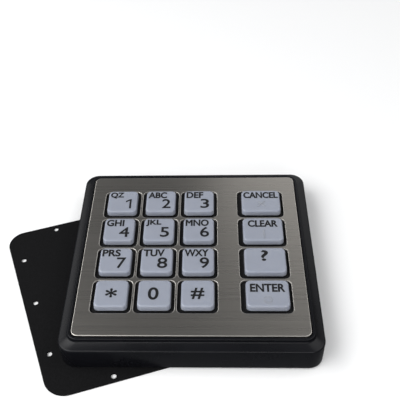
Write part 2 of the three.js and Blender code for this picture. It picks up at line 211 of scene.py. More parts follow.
def lathe(profile, centre, steps=32):
    """A turned piece. profile is (radius, z) from the top of the axis round to the bottom of it."""
    vertices, faces, rings = [], [], []
    for radius, z in profile:
        if radius == 0:
            rings.append([len(vertices)])
            vertices.append((centre[0], centre[1], z))
        else:
            rings.append(list(range(len(vertices), len(vertices) + steps)))
            vertices.extend((x, y, z) for x, y in circle(radius, steps, centre))
    for upper, lower in zip(rings, rings[1:]):
        for here in range(steps):
            after = (here + 1) % steps
            if len(upper) == 1:
                faces.append((upper[0], lower[here], lower[after]))
            elif len(lower) == 1:
                faces.append((upper[here], lower[0], upper[after]))
            else:
                faces.append((upper[here], lower[here], lower[after], upper[after]))
    return vertices, faces


# ---- Materials ----

def surface(name, color, roughness, metallic=0.0, mottle=(40.0, 0.06), grain=(1500.0, 0.00002),
            stretch=(1.0, 1.0, 1.0), rough_spread=0.06, specular=0.5, extra=None):
    """A node material: mottle is (scale, share of the colour), grain is (scale, height in metres)."""
    material = bpy.data.materials.new(name)
    material.use_nodes = True
    nodes, links = material.node_tree.nodes, material.node_tree.links
    shader = nodes["Principled BSDF"]
    shader.inputs["Metallic"].default_value = metallic
    shader.inputs["Specular IOR Level"].default_value = specular
    place = nodes.new("ShaderNodeTexCoord")
    mapping = nodes.new("ShaderNodeMapping")
    mapping.inputs["Scale"].default_value = stretch
    links.new(place.outputs["Object"], mapping.inputs["Vector"])

    broad = nodes.new("ShaderNodeTexNoise")
    broad.inputs["Scale"].default_value = mottle[0]
    broad.inputs["Detail"].default_value = 5
    links.new(mapping.outputs["Vector"], broad.inputs["Vector"])
    ramp = nodes.new("ShaderNodeValToRGB")
    ramp.color_ramp.elements[0].position = 0.3
    ramp.color_ramp.elements[1].position = 0.7
    ramp.color_ramp.elements[0].color = (*[c * (1 - mottle[1]) for c in color], 1)
    ramp.color_ramp.elements[1].color = (*[min(1, c * (1 + mottle[1])) for c in color], 1)
    links.new(broad.outputs["Fac"], ramp.inputs["Fac"])
    links.new(ramp.outputs["Color"], shader.inputs["Base Color"])

    spread = nodes.new("ShaderNodeMapRange")
    spread.inputs["To Min"].default_value = max(0.02, roughness - rough_spread)
    spread.inputs["To Max"].default_value = min(1.0, roughness + rough_spread)
    links.new(broad.outputs["Fac"], spread.inputs["Value"])
    links.new(spread.outputs["Result"], shader.inputs["Roughness"])

    fine = nodes.new("ShaderNodeTexNoise")
    fine.inputs["Scale"].default_value = grain[0]
    fine.inputs["Detail"].default_value = 3
    links.new(mapping.outputs["Vector"], fine.inputs["Vector"])
    bump = nodes.new("ShaderNodeBump")
    bump.inputs["Distance"].default_value = grain[1]
    links.new(fine.outputs["Fac"], bump.inputs["Height"])
    links.new(bump.outputs["Normal"], shader.inputs["Normal"])
    if extra:
        extra(nodes, links, shader)
    return material


def brushed(nodes, links, shader):
    """Brushed along one way, with a painted highlight: a lighter metal colour on every chamfered edge,
    whichever way the edge faces.
    """
    flat_facing, edge_facing = 0.985, 0.9
    # Painted highlight: this lighter colour is given to the chamfers, more of it the further their normal
    # tilts from the flat top.
    edge_highlight_color = (0.68, 0.655, 0.615, 1)
    edge_roughness = 0.25
    place = nodes.new("ShaderNodeTexCoord")
    facing = nodes.new("ShaderNodeSeparateXYZ")
    links.new(place.outputs["Normal"], facing.inputs["Vector"])
    tilted = nodes.new("ShaderNodeMapRange")
    tilted.inputs["From Min"].default_value = flat_facing
    tilted.inputs["From Max"].default_value = edge_facing
    links.new(facing.outputs["Z"], tilted.inputs["Value"])
    # Mixes the painted highlight colour into the base colour on the chamfered edges.
    edge = nodes.new("ShaderNodeMix")
    edge.data_type = "RGBA"
    edge.inputs["B"].default_value = edge_highlight_color
    links.new(tilted.outputs["Result"], edge.inputs["Factor"])
    links.new(shader.inputs["Base Color"].links[0].from_socket, edge.inputs["A"])
    links.new(edge.outputs["Result"], shader.inputs["Base Color"])
    rough = nodes.new("ShaderNodeMath")
    rough.operation = "MULTIPLY_ADD"
    rough.inputs[1].default_value = edge_roughness
    links.new(tilted.outputs["Result"], rough.inputs[0])
    links.new(shader.inputs["Roughness"].links[0].from_socket, rough.inputs[2])
    links.new(rough.outputs["Value"], shader.inputs["Roughness"])
    shader.inputs["Anisotropic"].default_value = 0.75
    tangent = nodes.new("ShaderNodeTangent")
    tangent.direction_type = "UV_MAP"
    tangent.uv_map = "grain"
    links.new(tangent.outputs["Tangent"], shader.inputs["Tangent"])


def translucent(nodes, links, shader):
    shader.inputs["Subsurface Weight"].default_value = 0.5
    shader.inputs["Subsurface Radius"].default_value = (1.0, 1.05, 1.2)
    shader.inputs["Subsurface Scale"].default_value = 0.0022


BEZEL_POLYMER = surface("bezel_polymer", (0.0045, 0.0047, 0.0062), 0.28, mottle=(60, 0.12),
                        grain=(2600, 0.000012), specular=0.2)
# The fascia's chamfered edges carry a painted highlight, added in brushed.
FASCIA_STEEL = surface("fascia_steel", (0.45, 0.425, 0.39), 0.28, metallic=1.0, mottle=(110, 0.035),
                       grain=(420, 0.000006), stretch=(0.06, 9.0, 9.0), rough_spread=0.04, extra=brushed)
KEY_POLYMER = surface("key_polymer", (0.28, 0.30, 0.355), 0.38, mottle=(90, 0.03),
                      grain=(3000, 0.000006), extra=translucent)
KEY_CARRIER = surface("key_carrier", (0.008, 0.008, 0.009), 0.6, specular=0.2)
LEGEND_INK = surface("legend_ink", (0.012, 0.012, 0.013), 0.5, specular=0.15, mottle=(700, 0.15))
SEAL_FOAM = surface("seal_foam", (0.012, 0.012, 0.013), 0.9, grain=(2500, 0.00006))
MAT_SILICONE = surface("mat_silicone", (0.55, 0.57, 0.60), 0.5)
CIRCUIT_BOARD = surface("circuit_board", (0.02, 0.12, 0.045), 0.35, mottle=(300, 0.15))
INSULATOR_FILM = surface("insulator_film", (0.008, 0.008, 0.009), 0.4, specular=0.3)
ZINC_PLATE = surface("zinc_plate", (0.40, 0.465, 0.525), 0.36, metallic=1.0, mottle=(25, 0.08),
                     grain=(500, 0.000006), stretch=(0.4, 2.5, 1.0), rough_spread=0.1)
GASKET_RUBBER = surface("gasket_rubber", (0.0045, 0.0045, 0.005), 0.75, mottle=(1200, 0.4),
                        grain=(2200, 0.00004), specular=0.1)
FASTENER_STEEL = surface("fastener_steel", (0.62, 0.64, 0.65), 0.24, metallic=1.0, mottle=(400, 0.1))
STANDOFF_STEEL = surface("standoff_steel", (0.70, 0.71, 0.72), 0.2, metallic=1.0, mottle=(500, 0.08))
HEADER_PLASTIC = surface("header_plastic", (0.012, 0.012, 0.013), 0.45, mottle=(500, 0.15))
PIN_GOLD = surface("pin_gold", (0.78, 0.56, 0.22), 0.22, metallic=1.0, mottle=(900, 0.08))
LABEL_PAPER = surface("label_paper", (0.80, 0.80, 0.78), 0.55, mottle=(150, 0.03))
LABEL_RED = surface("label_red", (0.55, 0.03, 0.04), 0.6)
FLOOR_WHITE = surface("floor_white", (0.93, 0.93, 0.93), 0.8, mottle=(2, 0.01), specular=0.1)


# ---- Camera, floor and lights ----

# From the middle of the fascia's top to the camera, and the camera's turn in radians.
CAMERA_PLACE = (10.47, -225.94, 259.28)
CAMERA_TURN = (0.78373, 0.03328, 0.02604)
# Focal length and sensor width in millimetres, and the shift of the view in widths of the sensor.
CAMERA_LENS = 61.14
CAMERA_SENSOR = 36
CAMERA_SHIFT = (0.0391, 0.0078)
FLOOR_SIZE = 2400
FLOOR_THICKNESS = 6
WORLD_COLOR = (0.93, 0.96, 1.0, 1)
WORLD_STRENGTH = 0.15
# Each softbox: azimuth from the front and elevation in degrees, distance and size in metres, power in watts.
SOFTBOXES = {
    "softbox_left": (-66, 46, 1.0, (1.1, 0.75), 11.5),
    "softbox_right": (84, 52, 1.1, (0.9, 0.8), 4.0),
    "softbox_front": (5, 24, 1.1, (0.9, 0.4), 3.6),
    "softbox_back": (154, 28, 1.2, (0.9, 0.8), 1.85),
    "softbox_back_left": (-132, 36, 1.2, (0.5, 0.5), 1.4),
}


def add_camera():
    data = bpy.data.cameras.new("camera")
    data.sensor_width = CAMERA_SENSOR
    data.lens = CAMERA_LENS
    data.shift_x, data.shift_y = CAMERA_SHIFT
    data.clip_start = 0.01
    camera = bpy.data.objects.new("camera", data)
    bpy.context.collection.objects.link(camera)
    camera.location = (Vector(CAMERA_PLACE) + Vector((0, 0, FASCIA_TOP))) * MM
    camera.rotation_euler = CAMERA_TURN
    bpy.context.scene.camera = camera


def add_floor():
    """A white floor. Glossy surfaces don't mirror it, so the bezel's black walls stay black."""
    outline = rounded_rect(FLOOR_SIZE, FLOOR_SIZE, 40, 4)
    vertices, faces = loft([(outline, -FLOOR_THICKNESS), (outline, 0)])
    data = mesh_from("floor", vertices, faces)
    data.transform(Matrix.Scale(MM, 4))
    data.materials.append(FLOOR_WHITE)
    floor = bpy.data.objects.new("floor", data)
    bpy.context.collection.objects.link(floor)
    floor.visible_glossy = False


def add_softbox(name, azimuth, elevation, distance, size, power):
    data = bpy.data.lights.new(name, "AREA")
    data.shape = "RECTANGLE"
    data.size, data.size_y = size
    data.energy = power
    light = bpy.data.objects.new(name, data)
    bpy.context.collection.objects.link(light)
    a, e = math.radians(azimuth), math.radians(elevation)
    away = Vector((math.sin(a) * math.cos(e), -math.cos(a) * math.cos(e), math.sin(e)))
    light.location = away * distance
    light.rotation_euler = away.to_track_quat("Z", "Y").to_euler()


def add_lights():
    world = bpy.data.worlds.new("studio")
    world.use_nodes = True
    background = world.node_tree.nodes["Background"]
    background.inputs["Color"].default_value = WORLD_COLOR
    background.inputs["Strength"].default_value = WORLD_STRENGTH
    bpy.context.scene.world = world
    bpy.context.scene.view_settings.view_transform = "Standard"
    for name, (azimuth, elevation, distance, size, power) in SOFTBOXES.items():
        add_softbox(name, azimuth, elevation, distance, size, power)


add_camera()
add_floor()
add_lights()


# ---- Bezel ----

# Heights below the top of the fascia.
FLANGE_DROP = 3.3
RIM_DROP = 0.3
RIM_FOOT_DROP = 2.4
# Insets from the outer wall.
RIM_OUTER = 4.5
RIM_INNER = 5.8
WALL_THICKNESS = 3.5
BOX_WALL_THICKNESS = 5.0
LEDGE_REACH = 2.4
LEDGE_THICKNESS = 1.5
SEAL_THICKNESS = 0.5
# Corner radii of the outer wall, the rim, and the pocket that the fascia lies in.
BEZEL_CORNER = 7.2
RIM_CORNER = 4.7
POCKET_CORNER = 3.4


def rim_and_flange():
    """The visible half of the bezel's section, from the rear edge up to the pocket, as (inset, z, corner)."""
    flange_z = FASCIA_TOP - FLANGE_DROP
    rim_top = FASCIA_TOP - RIM_DROP
    rim_foot = FASCIA_TOP - RIM_FOOT_DROP
    rear_round, flange_round, rim_round, pocket_round = 0.5, 1.0, 0.45, 0.25
    profile = []
    for inset, z in arc((rear_round, BEZEL_LOW.z + rear_round), rear_round, 270, 180, 3):
        profile.append((inset, z, BEZEL_CORNER - inset))
    for inset, z in arc((flange_round, flange_z - flange_round), flange_round, 180, 100, 7):
        profile.append((inset, z, BEZEL_CORNER - inset))
    # A fillet of three points leads from the sloping flange up into the rim.
    fillet, fillet_lift = 0.5, 0.15
    slope = (rim_foot - flange_z) / (RIM_OUTER - flange_round)
    fillet_start = RIM_OUTER - 1.2 * fillet
    profile.append((fillet_start, rim_foot - slope * (RIM_OUTER - fillet_start), RIM_CORNER + 0.4))
    profile.append((RIM_OUTER - 0.35 * fillet, rim_foot + fillet_lift, RIM_CORNER + 0.15))
    profile.append((RIM_OUTER, rim_foot + fillet + fillet_lift, RIM_CORNER))
    for inset, z in arc((RIM_OUTER + rim_round, rim_top - rim_round), rim_round, 180, 90, 5):
        profile.append((inset, z, RIM_CORNER - (inset - RIM_OUTER)))
    for inset, z in arc((RIM_INNER - pocket_round, rim_top - pocket_round), pocket_round, 90, 0, 3):
        profile.append((inset, z, POCKET_CORNER + RIM_INNER - inset))
    return profile


def bezel():
    ledge = RIM_INNER + LEDGE_REACH
    ledge_z = FASCIA_BACK - SEAL_THICKNESS
    ledge_under = ledge_z - LEDGE_THICKNESS
    rear_chamfer = 0.3
    profile = rim_and_flange() + [
        (RIM_INNER, ledge_z, POCKET_CORNER),
        (ledge, ledge_z, 2.0),
        (ledge, ledge_under, 2.0),
        (BOX_WALL_THICKNESS, ledge_under, 3.0),
        (BOX_WALL_THICKNESS, PLATE_HIGH.z, 3.0),
        (WALL_THICKNESS, PLATE_HIGH.z, 4.0),
        (WALL_THICKNESS, BEZEL_LOW.z + rear_chamfer, 4.0),
        (WALL_THICKNESS - rear_chamfer, BEZEL_LOW.z, 4.0 + rear_chamfer),
    ]
    rings = [(panel_outline(BEZEL_WIDTH - 2 * inset, corner), z) for inset, z, corner in profile]
    vertices, faces = loft(rings, closes_on_itself=True)
    finish_piece("bezel_shell", mesh_from("bezel_shell", vertices, faces), BEZEL_POLYMER,
                 "panel", ["bezel"], sharp_angle=40)


# ---- Fascia ----

def key_hole_loop(node):
    """The hole round a key, as a function of how far it grows."""
    low, high = box_mm(node)
    centre = centre_of(node)
    width = high.x - low.x - 2 * FLANGE_OVERLAP
    height = high.y - low.y - 2 * FLANGE_OVERLAP
    return lambda grow: rounded_rect(width + 2 * grow, height + 2 * grow, KEY_HOLE_CORNER + grow, 8, centre)


def add_grain_map(data):
    """Flat map coordinates whose first axis crosses the brushing, the way the highlight spreads."""
    map_per_mm = 0.005
    layer = data.uv_layers.new(name="grain")
    for loop in data.loops:
        place = data.vertices[loop.vertex_index].co
        layer.data[loop.index].uv = (place.y * map_per_mm, -place.x * map_per_mm)


def fascia():
    chamfer = 0.27
    holes = [key_hole_loop(node) for node in KEY_NODES]
    vertices, faces = cut_sheet(
        lambda grow: panel_outline(FASCIA_WIDTH + 2 * grow, FASCIA_CORNER + grow, 10),
        holes, FASCIA_BACK, FASCIA_TOP, chamfer, rounds=2)
    data = mesh_from("fascia_sheet", vertices, faces)
    add_grain_map(data)
    finish_piece("fascia_sheet", data, FASCIA_STEEL, "panel", ["fascia_plate"],
                 sharp_angle=18)


# ---- Keys ----

# Size of a digit key's square cap at its foot and at its shoulder.
CAP_BASE = 16.2
CAP_SHOULDER = 16.0
CAP_CORNER = 2.3
CAP_ROUND = 0.85
# How far the front wall leans back by the top.
CAP_FRONT_SLOPE = 0.35
# How far the cap stands over the CAD cap, and how far its foot lies under the top of the fascia.
CAP_PROUD = 0.25
CAP_DEPTH = 0.6
# How much narrower a cap is on its left side, on digit keys and on the wide keys.
CAP_LEFT_TRIM = 0.3
WIDE_CAP_LEFT_TRIM = 0.8

# Places are from the middle of a key. Bold is what the outline of a glyph grows by on each side.
DIGIT_HEIGHT = 6.8
DIGIT_WIDTH = 4.6
DIGIT_BOLD = 0.14
DIGIT_RIGHT = 5.5
DIGIT_FOOT = -5.2
ONE_RIGHT = 4.9
LETTER_HEIGHT = 4.6
LETTER_LEFT = -6.65
LETTER_FOOT = 2.25
WORD_BOLD = 0.2
LETTER_GROUPS = {"1": "QZ", "2": "ABC", "3": "DEF", "4": "GHI", "5": "JKL", "6": "MNO",
                 "7": "PRS", "8": "TUV", "9": "WXY"}
# Widths of the letter groups, and of the digits that are wider than the usual digit.
PRINT_WIDTHS = {"QZ": 7.1, "ABC": 10.0, "DEF": 9.0, "GHI": 9.1, "JKL": 7.9, "MNO": 12.0,
                "PRS": 9.1, "TUV": 10.5, "WXY": 11.9, "4": 5.2, "8": 5.0}
# Print of the other keys: text, middle, foot, width and height.
CENTRED_LEGENDS = {
    "key_star": ("*", 0.1, -2.5, 5.5, 5.4),
    "key_0": ("0", -0.35, -3.8, 5.1, 7.3),
    "key_hash": ("#", 0.1, -3.4, 6.4, 6.6),
    "key_cancel": ("CANCEL", 0.4, 1.95, 18.4, 4.6),
    "key_clear": ("CLEAR", 0.4, 1.5, 15.2, 4.7),
    "key_help": ("?", 0.25, -0.7, 3.5, 6.9),
    "key_enter": ("ENTER", 0.4, 0.85, 16.4, 4.8),
}

# Raised marks for touch: how deep a ridge starts in the cap, how high its sides and its crest stand, and
# how wide it is.
MARK_SUNK = 0.05
MARK_SIDE = 0.12
MARK_HEIGHT = 0.2
MARK_WIDTH = 0.7


def extra_width(node):
    """How much wider than high a key is."""
    low, high = box_mm(node)
    return (high.x - low.x) - (high.y - low.y)


def cap_top(node):
    """The height of a cap's flat top, a little over the CAD cap's, which has no rounding."""
    return box_mm(node)[1].z + CAP_PROUD


def key_cap(node):
    """The visible cap: nearly upright walls, rounded into a flat top."""
    top = cap_top(node)
    extra = extra_width(node)
    trim = WIDE_CAP_LEFT_TRIM if extra > 1 else CAP_LEFT_TRIM
    centre = (centre_of(node)[0] + trim / 2, centre_of(node)[1])
    foot = FASCIA_TOP - CAP_DEPTH
    shoulder = top - CAP_ROUND
    draft = (CAP_BASE - CAP_SHOULDER) / 2
    chamfer = 0.3
    flat_rim = 0.6
    profile = [(chamfer, foot), (0.0, foot + chamfer), (draft, shoulder)]
    profile.extend(arc((draft + CAP_ROUND, shoulder), CAP_ROUND, 170, 90, 7))
    profile.append((draft + CAP_ROUND + flat_rim, top))
    rings = []
    for inset, z in profile:
        lean = CAP_FRONT_SLOPE * (z - foot) / (top - foot)
        size = CAP_BASE - 2 * inset
        corner = max(0.5, CAP_CORNER - 0.6 * inset)
        middle = (centre[0], centre[1] + lean / 2)
        rings.append((rounded_rect(size + extra - trim, size - lean, corner, 8, middle), z))
    vertices, faces = loft(rings)
    finish_piece(f"cap_{node}", mesh_from(f"cap_{node}", vertices, faces), KEY_POLYMER,
                 node, [node], sharp_angle=50)


def key_carrier(node):
    """The dark carrier that holds the cap under the fascia."""
    low, high = box_mm(node)
    extra = extra_width(node)
    centre = centre_of(node)
    plunger, chamfer = 6, 0.2
    flange = high.y - low.y
    flange_low = low.z + 0.6
    flange_top = FASCIA_BACK - 0.1
    inside_cap = FASCIA_TOP - CAP_DEPTH + 0.05
    rings = []
    for size, z in [
        (plunger, low.z),
        (plunger, flange_low),
        (flange - 2 * chamfer, flange_low),
        (flange, flange_low + chamfer),
        (flange, flange_top - chamfer),
        (flange - 2 * chamfer, flange_top),
        (CAP_BASE, flange_top),
        (CAP_BASE - 2 * chamfer, inside_cap),
    ]:
        rings.append((rounded_rect(size + extra, size, min(CAP_CORNER, size / 5), 5, centre), z))
    vertices, faces = loft(rings)
    finish_piece(f"carrier_{node}", mesh_from(f"carrier_{node}", vertices, faces), KEY_CARRIER,
                 node)


def flat_text(name, text):
    """The filled outlines of a word, in font units."""
    curve = bpy.data.curves.new(name, "FONT")
    curve.body = text
    curve.resolution_u = 6
    holder = bpy.data.objects.new(name, curve)
    bpy.context.collection.objects.link(holder)
    bpy.context.view_layer.update()
    data = bpy.data.meshes.new_from_object(holder)
    bpy.data.objects.remove(holder)
    bpy.data.curves.remove(curve)
    return data


def thicken(solid, amount):
    """Moves the outline of flat faces outwards, so that every stroke gets twice the amount wider."""
    most_spread = 1.6
    least_agreement = 0.5
    outward = {}
    for edge in solid.edges:
        if len(edge.link_faces) != 1:
            continue
        start, end = edge.verts
        along = (end.co - start.co).normalized()
        normal = Vector((along.y, -along.x, 0))
        if normal.dot(edge.link_faces[0].calc_center_median() - start.co) > 0:
            normal = -normal
        for vertex in edge.verts:
            outward.setdefault(vertex, []).append(normal)
    for vertex, normals in outward.items():
        total = sum(normals, Vector((0, 0, 0)))
        if total.length > least_agreement:
            spread = min(most_spread, len(normals) / total.length)
            vertex.co += total.normalized() * amount * spread


def print_on(node, name, solid):
    """Turns flat faces, placed from the middle of a key, into ink that stands a little out of its top."""
    ink, sunk = 0.03, 0.12
    x, y = centre_of(node)
    bmesh.ops.translate(solid, verts=solid.verts, vec=(x, y, cap_top(node) - sunk))
    lifted = bmesh.ops.extrude_face_region(solid, geom=list(solid.faces))
    tops = [item for item in lifted["geom"] if isinstance(item, bmesh.types.BMVert)]
    bmesh.ops.translate(solid, verts=tops, vec=(0, 0, sunk + ink))
    bmesh.ops.recalc_face_normals(solid, faces=solid.faces)
    data = bpy.data.meshes.new(name)
    solid.to_mesh(data)
    solid.free()
    finish_piece(name, data, LEGEND_INK, node)


def legend(node, name, text, left, foot, width, height, bold):
    """Prints a word on a key, its lower left corner at (left, foot) from the middle of the key."""
    data = flat_text(name, text)
    xs = [v.co.x for v in data.vertices]
    ys = [v.co.y for v in data.vertices]
    scale_x = (width - 2 * bold) / (max(xs) - min(xs))
    scale_y = (height - 2 * bold) / (max(ys) - min(ys))
    for vertex in data.vertices:
        x = left + bold + (vertex.co.x - min(xs)) * scale_x
        y = foot + bold + (vertex.co.y - min(ys)) * scale_y
        vertex.co = (x, y, 0)
    solid = bmesh.new()
    solid.from_mesh(data)
    bpy.data.meshes.remove(data)
    bmesh.ops.remove_doubles(solid, verts=solid.verts, dist=0.001)
    thicken(solid, bold)
    print_on(node, name, solid)


def digit_one(node, right, foot, height):
    """A one with a flag, which the plain font doesn't have."""
    stem, flag, drop, flag_width = 1.0, 2.0, 1.3, 1.1
    top = foot + height
    left_of_stem = right - stem
    outline = [(right, foot), (right, top), (left_of_stem, top), (left_of_stem - flag, top - drop),
               (left_of_stem - flag, top - drop - flag_width), (left_of_stem, top - flag_width),
               (left_of_stem, foot)]
    solid = bmesh.new()
    solid.faces.new([solid.verts.new((x, y, 0)) for x, y in outline])
    print_on(node, "digit_key_1", solid)


def legends(node):
    if node in CENTRED_LEGENDS:
        text, middle, foot, width, height = CENTRED_LEGENDS[node]
        legend(node, f"legend_{node}", text, middle - width / 2, foot, width, height, WORD_BOLD)
        return
    digit = node.removeprefix("key_")
    letters = LETTER_GROUPS[digit]
    legend(node, f"letters_{node}", letters, LETTER_LEFT, LETTER_FOOT, PRINT_WIDTHS[letters],
           LETTER_HEIGHT, WORD_BOLD)
    if digit == "1":
        digit_one(node, ONE_RIGHT, DIGIT_FOOT, DIGIT_HEIGHT)
        return
    width = PRINT_WIDTHS.get(digit, DIGIT_WIDTH)
    legend(node, f"digit_{node}", digit, DIGIT_RIGHT - width, DIGIT_FOOT, width, DIGIT_HEIGHT, DIGIT_BOLD)


def shrink(outline, share):
    """The outline scaled about its own middle."""
    middle_x = sum(x for x, _ in outline) / len(outline)
    middle_y = sum(y for _, y in outline) / len(outline)
    return [(middle_x + (x - middle_x) * share, middle_y + (y - middle_y) * share) for x, y in outline]


def tactile_bars(node, name, outlines):
    """Low ridges of the key's own polymer, with a narrower crest."""
    key_x, key_y = centre_of(node)
    z = cap_top(node)
    ridges = []
    for outline in outlines:
        foot = [(key_x + x, key_y + y) for x, y in outline]
        crest = shrink(foot, 0.8)
        ridges.append(loft([(foot, z - MARK_SUNK), (foot, z + MARK_SIDE), (crest, z + MARK_HEIGHT)]))
    vertices, faces = gather(ridges)
    finish_piece(name, mesh_from(name, vertices, faces), KEY_POLYMER, node, sharp_angle=60)


def tactile_ring(node, name, centre, radius):
    key_x, key_y = centre_of(node)
    z = cap_top(node)
    place = (key_x + centre[0], key_y + centre[1])
    half = MARK_WIDTH / 2
    crest = 0.4 * half
    section = [(half, -MARK_SUNK), (half, MARK_SIDE), (crest, MARK_HEIGHT),
               (-crest, MARK_HEIGHT), (-half, MARK_SIDE), (-half, -MARK_SUNK)]
    rings = [(circle(radius + offset, 32, place), z + height) for offset, height in section]
    vertices, faces = loft(rings, closes_on_itself=True)
    finish_piece(name, mesh_from(name, vertices, faces), KEY_POLYMER, node, sharp_angle=60)


def bar(length, angle, centre):
    corners = rounded_rect(length, MARK_WIDTH, MARK_WIDTH * 0.45, 3)
    turn = math.radians(angle)
    points = []
    for x, y in corners:
        points.append((centre[0] + x * math.cos(turn) - y * math.sin(turn),
                       centre[1] + x * math.sin(turn) + y * math.cos(turn)))
    return points


def tactile_marks():
    cross_centre = (0.5, -2.3)
    cross = [bar(5.6, 45, cross_centre), bar(5.6, -45, cross_centre)]
    tactile_bars("key_cancel", "tactile_cross", cross)
    tactile_bars("key_clear", "tactile_bar", [bar(6.0, 90, (0.8, -3.6))])
    tactile_ring("key_enter", "tactile_ring", (0.3, -3.6), 1.75)


def keys():
    for node in KEY_NODES:
        key_cap(node)
        key_carrier(node)
        legends(node)
    tactile_marks()


# ---- Gasket ----

GASKET_SIZE = (112.0, 106.6)
GASKET_CORNER = 9.8
GASKET_CENTRE = (-30.5, -8.7)
GASKET_TURN = 18.0
GASKET_SKEW = 4.0
GASKET_HOLE_RADIUS = 1.3
# Half of the holes. The other half are in the same places after half a turn.
GASKET_HALF_HOLES = [(-29, 50.2), (-2, 50.2), (-50.2, 33), (-50.2, 2.8), (-50.2, -29.3), (-25, -50.2)]


def on_gasket(point):
    """Where a point of the square sheet lies once the sheet is skewed, turned and moved."""
    x_angle = math.radians(GASKET_TURN)
    y_angle = math.radians(GASKET_TURN + GASKET_SKEW + 90)
    x = GASKET_CENTRE[0] + point[0] * math.cos(x_angle) + point[1] * math.cos(y_angle)
    y = GASKET_CENTRE[1] + point[0] * math.sin(x_angle) + point[1] * math.sin(y_angle)
    return x, y


def gasket():
    low, high = box_mm("mounting_gasket")

    def outline(grow):
        width, height = GASKET_SIZE[0] + 2 * grow, GASKET_SIZE[1] + 2 * grow
        return [on_gasket(point) for point in rounded_rect(width, height, GASKET_CORNER + grow, 12)]

    holes = []
    for x, y in GASKET_HALF_HOLES:
        for side in (-1, 1):
            holes.append(round_hole(on_gasket((side * x, side * y)), GASKET_HOLE_RADIUS))
    vertices, faces = cut_sheet(outline, holes, low.z, high.z, 0.15)
    finish_piece("gasket_sheet", mesh_from("gasket_sheet", vertices, faces), GASKET_RUBBER,
                 "gasket", ["mounting_gasket"])


# ---- Back plate and its fasteners ----

STUD_RADIUS = 1.5
PLATE_HOLE_GAP = 0.3
SLOT_LENGTH = 38.0
SLOT_WIDTH = 9.0
SLOT_Y = 32.0
SPARE_HOLES = [(27.4, 46.3, 2.2), (7.4, 0.1, 2.5), (-18.0, -38.0, 3.2)]
FLUSH_FASTENERS = ["standoff_top", "standoff_bottom", "standoff_left", "standoff_right",
                   "board_post_upper", "board_post_lower"]


def back_plate():
    holes = [round_hole(centre_of(f"stud_{corner}"), STUD_RADIUS + PLATE_HOLE_GAP)
             for corner in STUD_CORNERS]
    for node in FLUSH_FASTENERS:
        low, high = box_mm(node)
        holes.append(round_hole(centre_of(node), (high.x - low.x) / 2 + PLATE_HOLE_GAP / 3))
    holes.extend(round_hole((x, y), radius) for x, y, radius in SPARE_HOLES)
    holes.append(lambda grow: rounded_rect(SLOT_LENGTH + 2 * grow, SLOT_WIDTH + 2 * grow,
                                           SLOT_WIDTH / 2 + grow - 0.01, 12, (0, SLOT_Y)))
    width = PLATE_HIGH.x - PLATE_LOW.x
    vertices, faces = cut_sheet(lambda grow: panel_outline(width + 2 * grow, 4 + grow, 8),
                                holes, PLATE_LOW.z, PLATE_HIGH.z, 0.15)
    finish_piece("plate_sheet", mesh_from("plate_sheet", vertices, faces), ZINC_PLATE,
                 "panel", ["back_plate"])


def stud(corner):
    node = f"stud_{corner}"
    low, high = box_mm(node)
    pitch, depth, lead_in = 0.5, 0.16, 0.5
    threaded_top = PLATE_LOW.z
    profile = [(0, high.z), (STUD_RADIUS, high.z), (STUD_RADIUS, threaded_top)]
    turns = round((threaded_top - low.z - lead_in) / pitch)
    for turn in range(turns):
        z = threaded_top - turn * pitch
        profile.append((STUD_RADIUS - depth, z - pitch / 2))
        profile.append((STUD_RADIUS, z - pitch))
    profile.append((STUD_RADIUS - 0.4, low.z))
    profile.append((0, low.z))
    vertices, faces = lathe(profile, centre_of(node))
    finish_piece(f"threaded_{node}", mesh_from(node, vertices, faces), FASTENER_STEEL,
                 "panel", [node], sharp_angle=24)


def washer(corner):
    node = f"washer_{corner}"
    low, high = box_mm(node)
    radius = (high.x - low.x) / 2
    centre = centre_of(node)
    vertices, faces = cut_sheet(lambda grow: circle(radius + grow, 40, centre),
                                [round_hole(centre, STUD_RADIUS + 0.15)], low.z, high.z, 0.1)
    finish_piece(f"pressed_{node}", mesh_from(node, vertices, faces), FASTENER_STEEL,
                 "panel", [node])


def nut(corner):
    """A hexagon nut whose corners are turned down to a cone at both faces."""
    node = f"nut_{corner}"
    low, high = box_mm(node)
    centre = centre_of(node)
    across_flats = 5.5
    steps = 48

    def hexagon(limit):
        points = []
        for step in range(steps):
            angle = 2 * math.pi * step / steps
            from_flat = (angle + math.pi / 6) % (math.pi / 3) - math.pi / 6
            radius = min(limit, across_flats / 2 / math.cos(from_flat))
            turned = angle + math.pi / 6
            points.append((centre[0] + radius * math.cos(turned), centre[1] + radius * math.sin(turned)))
        return points

    corner_radius = across_flats / math.sqrt(3)
    face_radius = across_flats / 2 - 0.05
    drop = (corner_radius - face_radius) * math.tan(math.radians(30))
    shares = (0.0, 0.35, 0.7, 1.0)
    cone = [(hexagon(face_radius + share * (corner_radius - face_radius)), share * drop) for share in shares]
    rings = [(outline, low.z + height) for outline, height in cone]
    rings.extend((outline, high.z - height) for outline, height in reversed(cone))
    bore, sink = STUD_RADIUS + 0.03, 0.25
    start = math.pi / 6
    rings.append((circle(bore + sink, steps, centre, start), high.z))
    rings.append((circle(bore, steps, centre, start), high.z - sink))
    rings.append((circle(bore, steps, centre, start), low.z + sink))
    rings.append((circle(bore + sink, steps, centre, start), low.z))
    vertices, faces = loft(rings, closes_on_itself=True)
    finish_piece(f"hexagon_{node}", mesh_from(node, vertices, faces), FASTENER_STEEL,
                 "panel", [node], sharp_angle=20)


